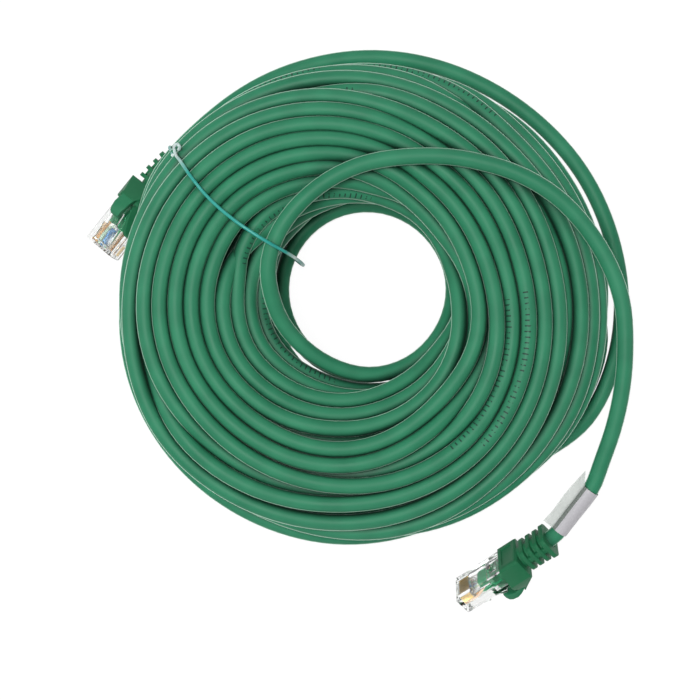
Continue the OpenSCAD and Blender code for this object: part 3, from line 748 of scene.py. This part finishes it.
housing_material = clear_material("clear_housing", (0.97, 0.98, 0.97), 0.03)
latch_material = clear_material("clear_latch", (0.94, 0.98, 0.95), 0.05)
for plug in ("a", "b"):
    for part, width, material, slot, body in (
        ("housing_", 0.00012, housing_material, "clear_housing", "cable"),
        ("latch_", 0.00012, latch_material, "clear_latch", "latch_" + plug),
        ("crimp_bar_", 0.0001, housing_material, "clear_housing", "cable"),
    ):
        clear = softened(part + plug, width, 2)
        clear.data.materials.append(material)
        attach(clear, body)
        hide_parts(part + plug)

# ---- contacts, wires and jacket ends ----
# Eight gold-plated blades stand in slots over eight insulated copper wires, in the standard order
# of colours, which come out of the cable's jacket inside the plug.


def give(node, material):
    """Puts the material on all of a CAD node's slots."""
    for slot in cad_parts[node].material_slots:
        slot.material = material


jacket_end_material = vinyl_material("jacket_end", (0.028, 0.300, 0.130), 0.4)
end_front, end_round, end_back = -0.0090, -0.0205, -0.0255
for plug, plug_place in (("a", plug_a_place), ("b", plug_b_place)):
    bpy.ops.object.select_all(action="DESELECT")
    bpy.ops.mesh.primitive_circle_add(
        vertices=32, radius=cable_r, fill_type="NGON", location=(end_back, 0, 0), rotation=(0, pi / 2, 0)
    )
    jacket_end = bpy.context.object
    jacket_end.name = "crimped_jacket_" + plug
    bpy.ops.object.transform_apply(location=True, rotation=True, scale=True)
    bpy.ops.object.mode_set(mode="EDIT")
    bpy.ops.mesh.select_all(action="SELECT")
    reached, wide, high = end_back, 1.0, 1.0
    for along, width, height in (
        (end_round, 1.0, 1.0), (-0.0195, 1.25, 1.01), (-0.0182, 1.56, 1.02), (-0.0170, 1.62, 0.90),
        (-0.0150, 1.62, 0.88), (-0.0142, 1.62, 1.02), (-0.0131, 1.61, 1.02), (-0.0129, 1.58, 0.60),
        (-0.0098, 1.56, 0.58), (end_front, 1.45, 0.50),
    ):
        bpy.ops.mesh.extrude_region_move(TRANSFORM_OT_translate={"value": (along - reached, 0, 0)})
        bpy.ops.transform.resize(
            value=(1, width / wide, height / high), center_override=(along, 0, 0)
        )
        reached, wide, high = along, width, height
    bpy.ops.mesh.inset(thickness=0.0005)
    bpy.ops.transform.translate(value=(-0.0006, 0, 0))
    bpy.ops.mesh.select_all(action="SELECT")
    bpy.ops.mesh.normals_make_consistent(inside=False)
    bpy.ops.object.mode_set(mode="OBJECT")
    jacket_end.data.transform(plug_place)
    bpy.ops.object.shade_smooth_by_angle(angle=radians(40))
    jacket_end.data.materials.append(jacket_end_material)
    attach(jacket_end, "cable")
    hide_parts("jacket_end_" + plug)

gold_material, tree, shader = surface("gold_contact", (0.80, 0.55, 0.20), 0.24, metallic=1.0)
place = tree.nodes.new("ShaderNodeTexCoord")
brushed = joined(tree, "ShaderNodeMapping", {"Vector": place.outputs["Object"], "Scale": (1, 1, 0.2)})
lines = joined(tree, "ShaderNodeTexNoise", {"Vector": brushed.outputs[0], "Scale": 6000, "Detail": 2})
rough = mapped(tree, lines.outputs["Fac"], 0.3, 0.7, 0.18, 0.38)
tree.links.new(rough.outputs[0], shader.inputs["Roughness"])
copper_red = (0.85, 0.42, 0.25)
copper_material, tree, shader = surface("copper", copper_red, 0.3, metallic=1.0)
place = tree.nodes.new("ShaderNodeTexCoord")
spots = joined(tree, "ShaderNodeTexNoise", {"Vector": place.outputs["Object"], "Scale": 1500, "Detail": 2})
aged = blended(tree, spots.outputs["Fac"], (*copper_red, 1), (0.62, 0.27, 0.14, 1))
tree.links.new(aged.outputs[2], shader.inputs["Base Color"])
# The wires keep the plain colours that they have in the CAD
for plug in ("a", "b"):
    give("conductors_" + plug, copper_material)
    for pin in range(1, 9):
        give(f"contact_{plug}{pin}", gold_material)

# ---- table and light ----
# A white table under one soft overhead lamp and four weaker low ones. The room shows white, but it
# hardly lights the cable.

bpy.ops.mesh.primitive_plane_add(size=6, location=(0, 0, -0.0003))
table = bpy.context.object
table.name = "table"
table_material, tree, shader = surface("table_white", (0.62, 0.62, 0.62), 0.9, specular_ior_level=0.1)
seen = tree.nodes.new("ShaderNodeLightPath")
lit = reckoned(tree, "MAXIMUM", seen.outputs["Is Camera Ray"], seen.outputs["Is Glossy Ray"])
lit = reckoned(tree, "MAXIMUM", lit.outputs[0], seen.outputs["Is Transmission Ray"])
lit_share = reckoned(tree, "MULTIPLY", lit.outputs[0], 0.84)
white = joined(tree, "ShaderNodeEmission", {"Color": (1, 1, 1, 1), "Strength": 1.13})
table_mix = tree.nodes.new("ShaderNodeMixShader")
tree.links.new(lit_share.outputs[0], table_mix.inputs[0])
tree.links.new(shader.outputs[0], table_mix.inputs[1])
tree.links.new(white.outputs[0], table_mix.inputs[2])
tree.links.new(table_mix.outputs[0], tree.nodes["Material Output"].inputs["Surface"])
table.data.materials.append(table_material)

world = bpy.data.worlds.new("bright_room")
bpy.context.scene.world = world
world.use_nodes = True
tree = world.node_tree
room = tree.nodes["Background"]
room.inputs["Color"].default_value = (1, 1, 1, 1)
room.inputs["Strength"].default_value = 0.02
bright = joined(tree, "ShaderNodeBackground", {"Color": (1, 1, 1, 1), "Strength": 1.0})
seen = tree.nodes.new("ShaderNodeLightPath")
lit = reckoned(tree, "MAXIMUM", seen.outputs["Is Camera Ray"], seen.outputs["Is Transmission Ray"])
world_mix = tree.nodes.new("ShaderNodeMixShader")
tree.links.new(lit.outputs[0], world_mix.inputs[0])
tree.links.new(room.outputs[0], world_mix.inputs[1])
tree.links.new(bright.outputs[0], world_mix.inputs[2])
tree.links.new(world_mix.outputs[0], tree.nodes["World Output"].inputs["Surface"])

for name, spot, size, energy in (
    ("overhead_softbox", (-0.16, 0.02, 1.04), 0.35, 8.8),
    ("left_softbox", (-0.78, 0.10, 0.34), 0.4, 1.2),
    ("rear_softbox", (0.05, 0.80, 0.34), 0.4, 0.7),
    ("right_softbox", (0.78, -0.10, 0.34), 0.4, 1.0),
    ("front_softbox", (-0.10, -0.80, 0.34), 0.4, 1.0),
):
    lamp_data = bpy.data.lights.new(name, "AREA")
    lamp_data.size = size
    lamp_data.energy = energy
    lamp = bpy.data.objects.new(name, lamp_data)
    lamp.location = spot
    lamp.rotation_euler = (-Vector(spot)).to_track_quat("-Z", "Y").to_euler()
    bpy.context.scene.collection.objects.link(lamp)

bpy.context.scene.view_settings.view_transform = "Standard"
